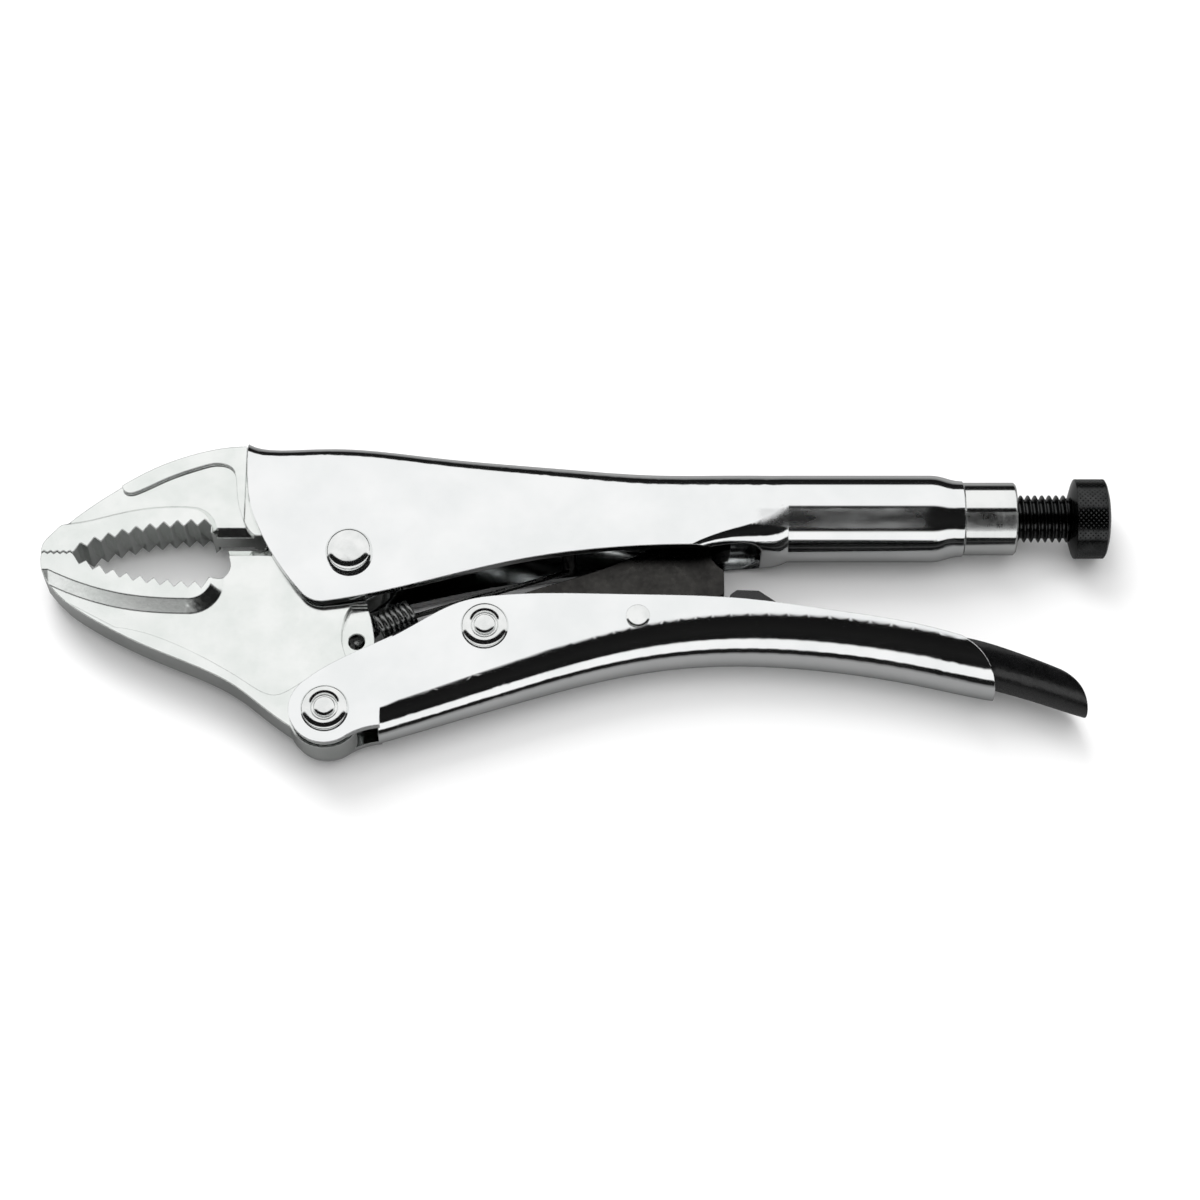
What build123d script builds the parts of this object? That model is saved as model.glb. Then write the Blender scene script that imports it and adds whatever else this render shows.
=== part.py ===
from build123d import *
import math
import os

# Locking pliers, 225 mm long, lying on their side, closed and locked.
# Everything is drawn about the main pivot: X runs from the jaw tips (-X) to the screw head (+X),
# Y runs from the lower handle (-Y) to the upper handle (+Y), and Z is the thickness, with the
# mid-plane of the jaws at Z = 0. place() then moves the whole tool so that it rests on Z = 0 with
# the origin under the centre of its box. Lengths are in millimetres, angles in degrees.

# ---- Overall box, about the main pivot --------------------------------------------------------
NOSE_X = -64.6
HEAD_END_X = 160.6
TOP_Y = 27.2
BOTTOM_Y = -42.6
HALF_THICKNESS = 9.2

# ---- Pivots and contact points ----------------------------------------------------------------
MAIN_PIVOT = (0.0, 0.0)
JAW_PIVOT = (-4.1, -34.7)        # lower jaw to lower handle
LINK_PIVOT = (28.6, -16.75)      # lower handle to toggle link
LEVER_PIVOT = (60.35, -15.1)     # lower handle to release lever
SCREW_Y = 10.3                   # axis of the adjusting screw
SCREW_TIP_X = 85.7               # end of the screw, with room for the toggle link's travel

# ---- Sheet and plate thicknesses --------------------------------------------------------------
UPPER_SHEET = 2.0
LOWER_SHEET = 1.8
LEVER_SHEET = 1.5
RUNNING_GAP = 0.05               # radial clearance of a pivot pin in its bore

# ---- Jaws -------------------------------------------------------------------------------------
PAD_HALF = 5.5                   # half thickness across the toothed pads
UPPER_WEB_HALF = 3.6
UPPER_RIM_HALF = 4.4
TANG_HALF = 4.1                  # the welded tang fills the handle
LOWER_WEB_HALF = 3.4
LOWER_RIM_HALF = 3.7
LUG_HALF = 1.7                   # thinned spring lug
NOSE_GAP = 0.1                   # half of the gap between the closed nose faces
FINE_TEETH = 5
BIG_TEETH = 10
FINE_DEPTH = 0.5
BIG_DEPTH = 1.5
NOSE_FACE_END_X = -57.9          # fine nose teeth stop and the big teeth start here
THROAT_END_X = -29.2             # the big teeth stop here
UPPER_ARCH_RISE = 6.3
LOWER_ARCH_DROP = 6.3
NOTCH_CENTRE = (-28.6, -1.8)
NOTCH_R = 3.6
UPPER_CUTTER_Y = 4.8
LOWER_CUTTER_Y = 2.0
CUTTER_HALF = 2.3                # half thickness left at the cutting edges
CUTTER_START_X = -29.2
CUTTER_END_X = -10.0
EAR_R = 10.4                     # round of the lower jaw about the main pivot
TANG_ARC_R = 11.0                # hollow of the fixed jaw around that round
TANG_END_X = 15.0
JAW_EAR_R = 7.9
SPRING_HOLE = (1.8, -18.5)
SPRING_HOLE_R = 1.75

# ---- Rivets -----------------------------------------------------------------------------------
MAIN_SHANK_R = 3.25
MAIN_HEAD_R = 4.93
MAIN_SKIRT = 1.0
MAIN_HEAD_HEIGHT = 3.0
RING_SHANK_R = 2.6
RING_HEAD_R = 5.0
RING_HEAD_HEIGHT = 1.3
RING_WELL_R = 3.0
RING_BUTTON_R = 2.25
RING_WELL_DEPTH = 0.8
LEVER_SHANK_R = 1.6
LEVER_HEAD_R = 2.5
LEVER_HEAD_HEIGHT = 0.5

# ---- Upper handle: stations of its folded channel ---------------------------------------------
BARREL_R = 9.2
BARREL_Y = SCREW_Y
BARREL_START_X = 92.0
NECK_START_X = 122.5
BARREL_END_X = 129.2
NECK_R = 8.0
BARREL_FLOOR = BARREL_Y - BARREL_R
OPEN_FLOOR = -14.0               # the channel is drawn down to here and trimmed from the side
# (x, half width, height of the round back's centre, lower corner radius, outer and inner floor)
UPPER_STATIONS = [
    (-23.0, 6.1, 21.5, 0.4, OPEN_FLOOR, OPEN_FLOOR - 2),
    (-3.0, 6.1, 19.9, 0.4, OPEN_FLOOR, OPEN_FLOOR - 2),
    (15.0, 6.6, 17.6, 0.4, OPEN_FLOOR, OPEN_FLOOR - 2),
    (32.0, 7.3, 15.0, 0.4, OPEN_FLOOR, OPEN_FLOOR - 2),
    (49.0, 8.1, 12.6, 0.5, OPEN_FLOOR + 3, OPEN_FLOOR + 1),
    (64.0, 8.7, 10.9, 0.7, -4.0, -6.0),
    (77.0, 9.1, 10.4, 2.0, BARREL_FLOOR, BARREL_FLOOR - 1.6),
    (85.5, BARREL_R, BARREL_Y, 4.8, BARREL_FLOOR, BARREL_FLOOR - 0.2),
    (BARREL_START_X, BARREL_R, BARREL_Y, BARREL_R, BARREL_FLOOR, BARREL_FLOOR + UPPER_SHEET),
]

# ---- Lower handle: stations of its folded channel ---------------------------------------------
EAR_PLATE_R = 7.5
LOWER_FRONT_HALF = 5.8
SPINE_START_X = 6.9
# (x, half width, lowest point of the round back)
LOWER_STATIONS = [
    (SPINE_START_X, LOWER_FRONT_HALF, -40.0),
    (21.0, 6.2, -35.6),
    (39.0, 6.9, -30.0),
    (55.0, 7.5, -25.7),
    (73.0, 8.1, -23.0),
    (90.0, 8.6, -23.0),
    (106.0, 8.9, -24.7),
    (121.0, 9.0, -27.5),
    (136.0, 9.0, -30.6),
]

# ---- Adjusting screw and its threaded bush ----------------------------------------------------
THREAD_R = 5.0
THREAD_ROOT_R = 4.15
THREAD_PITCH = 1.5
THREAD_FIT = 0.1                 # radial clearance of the thread crests in the bush
TIP_R = 3.4
TIP_LENGTH = 3.0
HEAD_R = 8.5
HEAD_CONE_X = 151.6
HEAD_START_X = 152.9
HEAD_DOME_X = 159.2
HEAD_DOME_R = 7.6
BUSH_START_X = 108.0
BUSH_FLANGE_X = 129.4
BUSH_END_X = 140.4
BUSH_FLANGE_R = 7.7
BUSH_BEVEL = 0.4

# ---- Toggle link ------------------------------------------------------------------------------
LINK_HALF = 3.4
LINK_EYE_R = 5.2
LINK_FACE_X = 80.7               # face that pushes on the screw
LINK_END_X = 78.5                # heel below the handle

# ---- Release lever ----------------------------------------------------------------------------
LEVER_HALF = 6.7
# (x, half width, lowest point of the round back)
LEVER_STATIONS = [
    (54.0, 5.0, -21.4),
    (70.0, 5.3, -20.4),
    (88.0, 5.9, -20.6),
    (106.0, 6.4, -22.3),
    (124.0, LEVER_HALF, -25.7),
    (134.0, LEVER_HALF, -28.1),
    (143.5, LEVER_HALF, -31.0),
    (154.5, LEVER_HALF, -34.7),
]

# ---- Tension spring and the bar it pulls from ---------------------------------------------------
WIRE_R = 0.55
COIL_R = 2.5
PEG_LENGTH = 4.6                 # wire end that stands in the lug's hole
PEG_MIDDLE_Z = -0.8
COIL_PITCH = 1.15
COIL_START = (5.9, -14.6)
COIL_END = (13.3, -11.0)
ANCHOR = (46.0, 1.3)
ANCHOR_R = 1.5


def place(shape):
    """Move a shape from the pivot's frame to the frame of the finished part."""
    return Pos(-(NOSE_X + HEAD_END_X) / 2, -(TOP_Y + BOTTOM_Y) / 2, HALF_THICKNESS) * shape


def section_plane(x):
    """Plane across the tool at x, whose own axes are Y and Z."""
    return Plane(origin=(x, 0, 0), x_dir=(0, 1, 0), z_dir=(1, 0, 0))


def plate(outline, half, lower=None):
    """Extrude a closed outline from -half to +half, or from lower to half."""
    start = -half if lower is None else lower
    return extrude(Pos(0, 0, start) * make_face(outline), half - start)


def both_sides(shape):
    """A shape and its mirror image in the mid-plane."""
    return shape + mirror(shape, Plane.XY)


def bore(centre, radius, half=HALF_THICKNESS):
    """A round cutter or pin along Z about a point."""
    return Pos(centre[0], centre[1], 0) * Cylinder(radius, 2 * half)


def revolved_x(points, axis_y):
    """Revolve (x, radius) points about the line y = axis_y, z = 0 along X."""
    outline = Polyline([(x, axis_y + r) for x, r in points], close=True)
    return revolve(make_face(outline), Axis((0, axis_y, 0), (1, 0, 0)))


def polar(centre, radius, angle):
    """The point at an angle on a circle."""
    turn = math.radians(angle)
    return (centre[0] + radius * math.cos(turn), centre[1] + radius * math.sin(turn))


def arch_height(x, rise):
    """Height of the throat's arch at x: a quarter wave from the nose face to the throat's end."""
    along = (x - NOSE_FACE_END_X) / (THROAT_END_X - NOSE_FACE_END_X)
    return rise * math.sin(math.radians(90) * min(1.0, along) ** 0.8)


def tooth_line(side, rise):
    """Zigzag from the nose to the end of the throat, for the upper (+1) or lower (-1) jaw."""
    points = [(NOSE_X, side * NOSE_GAP)]
    fine_pitch = (NOSE_FACE_END_X - NOSE_X) / FINE_TEETH
    for tooth in range(FINE_TEETH):
        middle = NOSE_X + (tooth + 0.5) * fine_pitch
        points.append((middle, side * NOSE_GAP + FINE_DEPTH))
        points.append((middle + fine_pitch / 2, side * NOSE_GAP))
    big_pitch = (THROAT_END_X - NOSE_FACE_END_X) / BIG_TEETH
    for tooth in range(BIG_TEETH):
        valley = NOSE_FACE_END_X + (tooth + 0.5) * big_pitch
        crest = valley + big_pitch / 2
        points.append((valley, side * (arch_height(valley, rise) + BIG_DEPTH)))
        points.append((crest, side * max(NOSE_GAP, arch_height(crest, rise))))
    return points


def channel_face(x, half, round_y, open_y):
    """Section of a folded channel: a half round back about round_y, open at open_y."""
    away = math.copysign(half, round_y - open_y)
    back = ThreePointArc((round_y, half), (round_y + away, 0), (round_y, -half))
    rest = Polyline((round_y, -half), (open_y, -half), (open_y, half), (round_y, half))
    return section_plane(x) * make_face(back + rest)


def barrel_face(x, half, round_y, corner, floor_y):
    """Section of the upper handle: a half round back, flat sides and rounded lower corners."""
    corner = min(corner, half - 0.1, round_y - floor_y - 0.1)
    slant = corner * (1 - math.sqrt(0.5))
    back = ThreePointArc((round_y, half), (round_y + half, 0), (round_y, -half))
    left = Line((round_y, -half), (floor_y + corner, -half))
    left_turn = ThreePointArc(
        (floor_y + corner, -half), (floor_y + slant, slant - half), (floor_y, corner - half)
    )
    floor = Line((floor_y, corner - half), (floor_y, half - corner))
    right_turn = ThreePointArc(
        (floor_y, half - corner), (floor_y + slant, half - slant), (floor_y + corner, half)
    )
    right = Line((floor_y + corner, half), (round_y, half))
    return section_plane(x) * make_face(back + left + left_turn + floor + right_turn + right)


# ---- Upper handle -------------------------------------------------------------------------------

def upper_channel(inset):
    """The front of the upper handle as a solid, inset by the sheet for its hollow."""
    faces = []
    for x, half, round_y, corner, outer_floor, inner_floor in UPPER_STATIONS:
        floor_y = inner_floor if inset else outer_floor
        faces.append(barrel_face(x, half - inset, round_y, max(0.3, corner - inset), floor_y))
    return loft(faces)


def barrel_curve(inset):
    """Outline of the barrel above its axis, from the channel to the end of the neck."""
    straight = Line((BARREL_START_X, BARREL_Y + BARREL_R - inset),
                    (NECK_START_X, BARREL_Y + BARREL_R - inset))
    neck = Spline(
        (NECK_START_X, BARREL_Y + BARREL_R - inset),
        (BARREL_END_X, BARREL_Y + NECK_R - inset),
        tangents=[(1, 0), (1, 0)],
    )
    return straight + neck


def barrel(inset):
    """The round barrel as a solid, inset by the sheet for its hollow."""
    rest = Polyline(
        (BARREL_END_X, BARREL_Y + NECK_R - inset),
        (BARREL_END_X, BARREL_Y),
        (BARREL_START_X, BARREL_Y),
        (BARREL_START_X, BARREL_Y + BARREL_R - inset),
    )
    return revolve(make_face(barrel_curve(inset) + rest), Axis((0, BARREL_Y, 0), (1, 0, 0)))


def upper_side():
    """Side outline that trims the front and lower edges of the upper handle's walls."""
    front = Spline((-22.4, 27.4), (-22.1, 19.5), (-21.2, 11.5), (-18.6, 4.4), (-13.9, -3.7), (-9.9, -8.8))
    corner = ThreePointArc((-9.9, -8.8), (-7.8, -10.5), (-4.9, -11.0))
    lower = Spline((-4.9, -11.0), (2.7, -9.8), (19.3, -5.9), (36.1, -2.1), (52.9, 0.0), (70.0, 0.6))
    far_x = BARREL_END_X + 5
    rest = Polyline((70.0, 0.6), (75.0, 0.6), (77.0, -3.0), (far_x, -3.0), (far_x, 40.0), (-22.4, 40.0),
                    (-22.4, 27.4))
    return plate(front + corner + lower + rest, HALF_THICKNESS + 1)


def upper_handle():
    """Upper handle: one folded sheet, an open channel in front that closes into a round barrel."""
    outer = upper_channel(0) & upper_side()
    shell = (outer + barrel(0)) - upper_channel(UPPER_SHEET) - barrel(UPPER_SHEET)
    return shell - bore(MAIN_PIVOT, MAIN_SHANK_R)


# ---- Jaws ---------------------------------------------------------------------------------------

def fixed_jaw_outline():
    """Side outline of the fixed jaw with its teeth, cutting edge and welded tang."""
    teeth = Polyline(*tooth_line(1, UPPER_ARCH_RISE))
    tooth_end = tooth_line(1, UPPER_ARCH_RISE)[-1]
    arc_angle = 180 - math.degrees(math.asin(UPPER_CUTTER_Y / TANG_ARC_R))
    arc_start = polar(MAIN_PIVOT, TANG_ARC_R, arc_angle)
    arc_end = polar(MAIN_PIVOT, TANG_ARC_R, 62)
    cutter = Polyline(tooth_end, (CUTTER_START_X, UPPER_CUTTER_Y), arc_start)
    hollow = ThreePointArc(arc_start, polar(MAIN_PIVOT, TANG_ARC_R, 110), arc_end)
    tang = Polyline(arc_end, (TANG_END_X, arc_end[1]), (TANG_END_X, 21.0), (-22.0, 25.2))
    back = Spline(
        (-22.0, 25.2), (-26.9, 24.9), (-34.5, 23.1), (-42.1, 20.0), (-49.6, 15.4), (-57.2, 9.7),
        (-63.4, 3.6),
    )
    nose = ThreePointArc((-63.4, 3.6), (-64.3, 2.2), (NOSE_X, 0.6))
    return teeth + cutter + hollow + tang + back + nose + Line((NOSE_X, 0.6), (NOSE_X, NOSE_GAP))


def lower_jaw_outline():
    """Side outline of the lower jaw: teeth, throat notch, cutting edge, ear, spring lug and pivot end."""
    points = tooth_line(-1, LOWER_ARCH_DROP)
    points[-1] = polar(NOTCH_CENTRE, NOTCH_R, 262)
    teeth = Polyline(*points)
    notch = ThreePointArc(points[-1], polar(NOTCH_CENTRE, NOTCH_R, 325), polar(NOTCH_CENTRE, NOTCH_R, 10))
    ear_angle = 180 - math.degrees(math.asin(LOWER_CUTTER_Y / EAR_R))
    ear_start = polar(MAIN_PIVOT, EAR_R, ear_angle)
    ear_end = polar(MAIN_PIVOT, EAR_R, -70)
    cutter = Polyline(polar(NOTCH_CENTRE, NOTCH_R, 10), (-25.8, LOWER_CUTTER_Y), ear_start)
    ear = ThreePointArc(ear_start, polar(MAIN_PIVOT, EAR_R, 55), ear_end)
    pivot_start = polar(JAW_PIVOT, JAW_EAR_R, 25)
    pivot_end = polar(JAW_PIVOT, JAW_EAR_R, 205)
    lug = Spline(ear_end, (5.4, -17.5), (5.3, -24.0), pivot_start)
    pivot_round = ThreePointArc(pivot_start, polar(JAW_PIVOT, JAW_EAR_R, -65), pivot_end)
    back = Spline(
        pivot_end, (-17.0, -33.8), (-22.7, -29.3), (-32.0, -24.4), (-42.1, -20.1), (-52.1, -14.9),
        (-60.0, -9.4), (-63.9, -4.8),
    )
    nose = ThreePointArc((-63.9, -4.8), (-64.4, -3.2), (NOSE_X, -1.6))
    return teeth + notch + cutter + ear + lug + pivot_round + back + nose + Line((NOSE_X, -1.6), points[0])


def fixed_pad_limit(grow):
    """Area of the fixed jaw's raised pad, grown outwards for the foot of its sloping side."""
    top = Spline(
        (-63.0, 6.5 + grow), (-54.7, 7.4 + grow), (-47.1, 9.4 + grow), (-38.0, 10.5 + grow),
        (-34.0, 10.4 + grow),
    )
    turn = ThreePointArc(
        (-34.0, 10.4 + grow), (-30.6 + grow * 0.7, 9.0 + grow * 0.7), (CUTTER_START_X + grow, 5.2)
    )
    rest = Polyline((CUTTER_START_X + grow, 5.2), (CUTTER_START_X + grow, -8.0), (-70.0, -8.0),
                    (-70.0, 6.5 + grow), (-63.0, 6.5 + grow))
    return top + turn + rest


def lower_pad_limit(grow):
    """Area of the lower jaw's raised pad, grown outwards for the foot of its sloping side."""
    top = Spline(
        (-63.0, -3.6 - grow), (-57.2, -6.2 - grow), (-47.1, -9.1 - grow), (-38.0, -10.1 - grow),
        (-34.0, -10.2 - grow),
    )
    turn = ThreePointArc(
        (-34.0, -10.2 - grow), (-30.2 + grow * 0.7, -9.0 - grow * 0.7), (-28.6 + grow * 0.9, -5.3)
    )
    rest = Polyline((-28.6 + grow * 0.9, -5.3), (-28.6 + grow * 0.9, 8.0), (-70.0, 8.0),
                    (-70.0, -3.6 - grow), (-63.0, -3.6 - grow))
    return top + turn + rest


def raised_pad(outline, limit, web_half, slope):
    """The part of a jaw that stands proud of its web, with sloping sides, on both faces."""
    foot = Pos(0, 0, web_half - 0.2) * make_face(limit(slope))
    top = Pos(0, 0, PAD_HALF) * make_face(limit(0))
    mound = loft([foot, top], ruled=True)
    return plate(outline, PAD_HALF) & both_sides(mound)


def cutter_bevel(edge_y, side, web_half):
    """Wedges that thin a jaw to its cutting edge behind the throat."""
    slope = 2.2
    edge = Polyline(
        (edge_y - side * 0.5, CUTTER_HALF - 0.3), (edge_y + side * slope, web_half + 0.3),
        (edge_y - side * 0.5, web_half + 0.3), close=True,
    )
    wedge = extrude(section_plane(CUTTER_START_X + 0.9) * make_face(edge), CUTTER_END_X - CUTTER_START_X - 2)
    return both_sides(wedge)


def fixed_jaw():
    """Fixed jaw, welded by its tang into the front of the upper handle."""
    outline = fixed_jaw_outline()
    web = plate(outline, UPPER_WEB_HALF) - cutter_bevel(UPPER_CUTTER_Y, 1, UPPER_WEB_HALF)
    pad = raised_pad(outline, fixed_pad_limit, UPPER_WEB_HALF, 1.2)
    rim_inner = Spline(
        (-48.4, 15.4), (-47.9, 14.6), (-46.9, 14.3), (-45.0, 14.8), (-39.5, 17.6), (-32.0, 20.5), (-28.2, 21.2), (-25.6, 20.2),
        (-24.3, 15.0), (-22.9, 8.9), (-21.0, 5.4), (-18.4, 4.3),
    )
    rim_outer = Polyline((-18.4, 4.3), (-18.3, 5.0), (-21.5, 12.0), (-22.5, 19.5), (-22.5, 40.0),
                         (-48.9, 40.0), (-48.9, 16.6), (-48.4, 15.4))
    rim = plate(outline, UPPER_RIM_HALF) & plate(rim_inner + rim_outer, UPPER_RIM_HALF)
    tang_area = plate(Polyline((-21.5, 8.0), (-21.5, 40.0), (40.0, 40.0), (40.0, 0.0), (-12.0, 0.0),
                               close=True), TANG_HALF)
    tang = plate(outline, TANG_HALF) & tang_area
    jaw = (web + pad + rim + tang) & fixed_jaw_room()
    return jaw


def fixed_jaw_room():
    """Everything in front of the upper handle, and the hollow inside its channel."""
    front = plate(Polyline((-80.0, -20.0), (-80.0, 40.0), (-22.5, 40.0), (-22.5, -20.0), close=True),
                  HALF_THICKNESS)
    return front + upper_channel(UPPER_SHEET)


def lower_jaw():
    """Lower jaw, which turns on the main pivot and carries the lower handle at its rear end."""
    outline = lower_jaw_outline()
    web = plate(outline, LOWER_WEB_HALF) - cutter_bevel(LOWER_CUTTER_Y, -1, LOWER_WEB_HALF)
    pad = raised_pad(outline, lower_pad_limit, LOWER_WEB_HALF, 2.8)
    rim_inner = Spline(
        (-48.5, -15.9), (-45.8, -16.3), (-31.4, -21.8), (-20.7, -28.2), (-14.6, -31.0), (-9.5, -28.4),
        (2.0, -22.5), (6.5, -21.0),
    )
    rim_outer = Polyline((6.5, -21.0), (10.0, -60.0), (-70.0, -60.0), (-70.0, -9.0), (-60.0, -9.6),
                         (-48.5, -15.9))
    rim = plate(outline, LOWER_RIM_HALF) & plate(rim_inner + rim_outer, LOWER_RIM_HALF)
    lug_recess = both_sides(
        Pos(10.3, -17.4, (LUG_HALF + LOWER_RIM_HALF + 1) / 2) * Cylinder(11.6, LOWER_RIM_HALF + 1 - LUG_HALF)
    )
    lug_limit = plate(Polyline((-6.0, -10.9), (-6.0, -25.0), (12.0, -20.0), (12.0, -10.9), close=True), 12)
    jaw = (web + pad + rim) - (lug_recess & lug_limit)
    jaw -= bore(MAIN_PIVOT, MAIN_SHANK_R + RUNNING_GAP)
    jaw -= bore(JAW_PIVOT, RING_SHANK_R + RUNNING_GAP)
    return jaw - bore(SPRING_HOLE, SPRING_HOLE_R)


# ---- Lower handle -------------------------------------------------------------------------------

def folded_channel(stations, inset, open_y):
    """A channel with its round back downwards, as a solid, inset by the sheet for its hollow."""
    faces = [channel_face(x, half - inset, low + half, open_y) for x, half, low in stations]
    return loft(faces)


def lower_side():
    """Side outline that trims the top edge and the slanted end of the lower handle."""
    top = Spline(
        (5.0, -21.0), (15.1, -15.6), (23.5, -11.3), (31.9, -9.9), (57.1, -10.1), (82.3, -11.4), (99.1, -13.9),
        (115.9, -16.8), (127.2, -19.9),
    )
    end = Spline((127.2, -19.9), (132.2, -24.7), (134.4, -31.5))
    rest = Polyline((134.4, -31.5), (134.4, -60.0), (5.0, -60.0), (5.0, -21.0))
    return plate(top + end + rest, HALF_THICKNESS + 1)


def ear_plates():
    """The two flat ears that straddle the lower jaw at the front of the lower handle."""
    top = Spline((9.5, -18.6), (3.0, -21.7), (-3.0, -24.8), polar(JAW_PIVOT, EAR_PLATE_R, 125))
    round_end = ThreePointArc(
        polar(JAW_PIVOT, EAR_PLATE_R, 125), polar(JAW_PIVOT, EAR_PLATE_R, 215),
        polar(JAW_PIVOT, EAR_PLATE_R, 300),
    )
    notch = Spline(polar(JAW_PIVOT, EAR_PLATE_R, 300), (2.4, -39.6), (5.2, -38.7), (7.2, -38.4))
    rest = Polyline((7.2, -38.4), (7.2, -33.5), (9.5, -33.5), (9.5, -18.6))
    ear = plate(top + round_end + notch + rest, LOWER_FRONT_HALF, LOWER_FRONT_HALF - LOWER_SHEET)
    return both_sides(ear)


def lower_handle():
    """Lower handle: a folded channel with two ears on the lower jaw."""
    outer = folded_channel(LOWER_STATIONS, 0, 5.0) & lower_side()
    shell = outer - folded_channel(LOWER_STATIONS, LOWER_SHEET, 7.0) + ear_plates()
    shell -= bore(JAW_PIVOT, RING_SHANK_R)
    shell -= bore(LINK_PIVOT, RING_SHANK_R)
    return shell - bore(LEVER_PIVOT, LEVER_SHANK_R)


# ---- Toggle link and release lever --------------------------------------------------------------

def toggle_link():
    """Toggle link from the lower handle to the end of the adjusting screw."""
    eye_top = polar(LINK_PIVOT, LINK_EYE_R, 110)
    eye_bottom = polar(LINK_PIVOT, LINK_EYE_R, -70)
    eye = ThreePointArc(eye_bottom, polar(LINK_PIVOT, LINK_EYE_R, 200), eye_top)
    top = Spline(eye_top, (40.0, -6.9), (56.0, -1.4), (68.0, 5.2), (75.0, 12.0))
    tip = ThreePointArc((75.0, 12.0), (78.4, 13.9), (LINK_FACE_X, 12.3))
    face = Line((LINK_FACE_X, 12.3), (LINK_FACE_X, 8.0))
    hollow = ThreePointArc((LINK_FACE_X, 8.0), (75.6, 2.6), (LINK_END_X, -2.8))
    heel = Polyline((LINK_END_X, -2.8), (LINK_END_X, -8.4), (76.9, -9.4))
    bottom = Spline((76.9, -9.4), (60.0, -12.7), (46.0, -15.6), eye_bottom)
    link = plate(eye + top + tip + face + hollow + heel + bottom, LINK_HALF)
    return link - bore(LINK_PIVOT, RING_SHANK_R + RUNNING_GAP)


def lever_side():
    """Side outline of the release lever: pivot ears, hump, low walls and the finger tail."""
    ears = Polyline((54.5, -30.0), (54.5, -15.0), (56.8, -11.8), (58.6, -11.0), (62.1, -11.0), (64.6, -12.2),
                    (69.5, -13.2), (79.0, -12.8), (79.6, -9.4), (81.0, -8.3), (85.6, -8.5), (88.5, -10.6))
    walls = Spline((88.5, -10.6), (98.0, -15.4), (110.0, -17.8), (129.2, -19.6), (137.4, -22.2), (147.5, -26.4))
    end = Spline((147.5, -26.4), (151.6, -29.9), (153.5, -36.5))
    rest = Polyline((153.5, -36.5), (153.5, -50.0), (54.5, -50.0), (54.5, -30.0))
    return plate(ears + walls + end + rest, HALF_THICKNESS)


def release_lever():
    """Release lever: a narrower channel nested in the lower handle, with its tail beyond the end."""
    outer = folded_channel(LEVER_STATIONS, 0, 2.0) & lever_side()
    shell = outer - folded_channel(LEVER_STATIONS, LEVER_SHEET, 4.0)
    bridge = plate(Polyline((79.9, -9.7), (85.5, -8.8), (85.5, -10.3), (79.9, -11.2), close=True), 5.0)
    return (shell + bridge) - bore(LEVER_PIVOT, LEVER_SHANK_R + RUNNING_GAP)


# ---- Adjusting screw and bush -------------------------------------------------------------------

def adjusting_screw():
    """Adjusting screw: plain rounded tip, thread drawn as rings, and a round head."""
    points = [(SCREW_TIP_X, 0), (SCREW_TIP_X, TIP_R - 1.2), (SCREW_TIP_X + 1.2, TIP_R)]
    thread_start = SCREW_TIP_X + TIP_LENGTH
    points.append((thread_start, TIP_R))
    turns = int((HEAD_CONE_X - thread_start) / THREAD_PITCH)
    for turn in range(turns):
        x = thread_start + turn * THREAD_PITCH
        points.append((x + 0.1, THREAD_ROOT_R))
        points.append((x + 0.6, THREAD_R))
        points.append((x + 0.9, THREAD_R))
        points.append((x + 1.4, THREAD_ROOT_R))
    points.append((HEAD_CONE_X, THREAD_ROOT_R))
    points.append((HEAD_START_X, HEAD_R))
    points.append((HEAD_DOME_X, HEAD_R))
    points.append((HEAD_END_X, HEAD_DOME_R))
    points.append((HEAD_END_X, 0))
    return revolved_x(points, SCREW_Y)


def screw_bush():
    """Threaded bush, held in the barrel behind its rolled neck, with a plain collar outside."""
    fit = 0.02
    inner_r = BARREL_R - UPPER_SHEET - fit
    neck_r = NECK_R - UPPER_SHEET - fit
    curve = Spline((NECK_START_X, inner_r), (BARREL_END_X, neck_r), tangents=[(1, 0), (1, 0)])
    seat = [curve @ (step / 6) for step in range(7)]
    points = [(BUSH_START_X, inner_r)] + [(point.X, point.Y) for point in seat]
    points += [
        (BUSH_FLANGE_X, neck_r), (BUSH_FLANGE_X, BUSH_FLANGE_R), (BUSH_END_X - BUSH_BEVEL, BUSH_FLANGE_R),
        (BUSH_END_X, BUSH_FLANGE_R - BUSH_BEVEL), (BUSH_END_X, THREAD_R + THREAD_FIT),
        (BUSH_START_X, THREAD_R + THREAD_FIT),
    ]
    return revolved_x(points, SCREW_Y)


# ---- Rivets -------------------------------------------------------------------------------------

def revolved_z(outline, centre):
    """Revolve an outline of (radius, height) about Z through a point, on both sides of the tool."""
    half = revolve(Plane.XZ * make_face(outline), Axis.Z)
    return Pos(centre[0], centre[1], 0) * both_sides(half)


def main_rivet():
    """Main pivot rivet with a domed head on each side of the upper handle."""
    wall = UPPER_STATIONS[1][1]
    top = wall + MAIN_HEAD_HEIGHT
    shoulder = wall + MAIN_SKIRT
    rise = top - shoulder
    sphere_r = (MAIN_HEAD_R ** 2 + rise ** 2) / (2 * rise)
    middle_r = MAIN_HEAD_R / 2
    middle = (middle_r, top - sphere_r + math.sqrt(sphere_r ** 2 - middle_r ** 2))
    dome = ThreePointArc((MAIN_HEAD_R, shoulder), middle, (0, top))
    rest = Polyline((0, top), (0, 0), (MAIN_SHANK_R, 0), (MAIN_SHANK_R, wall), (MAIN_HEAD_R, wall),
                    (MAIN_HEAD_R, shoulder))
    return revolved_z(dome + rest, MAIN_PIVOT)


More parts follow.
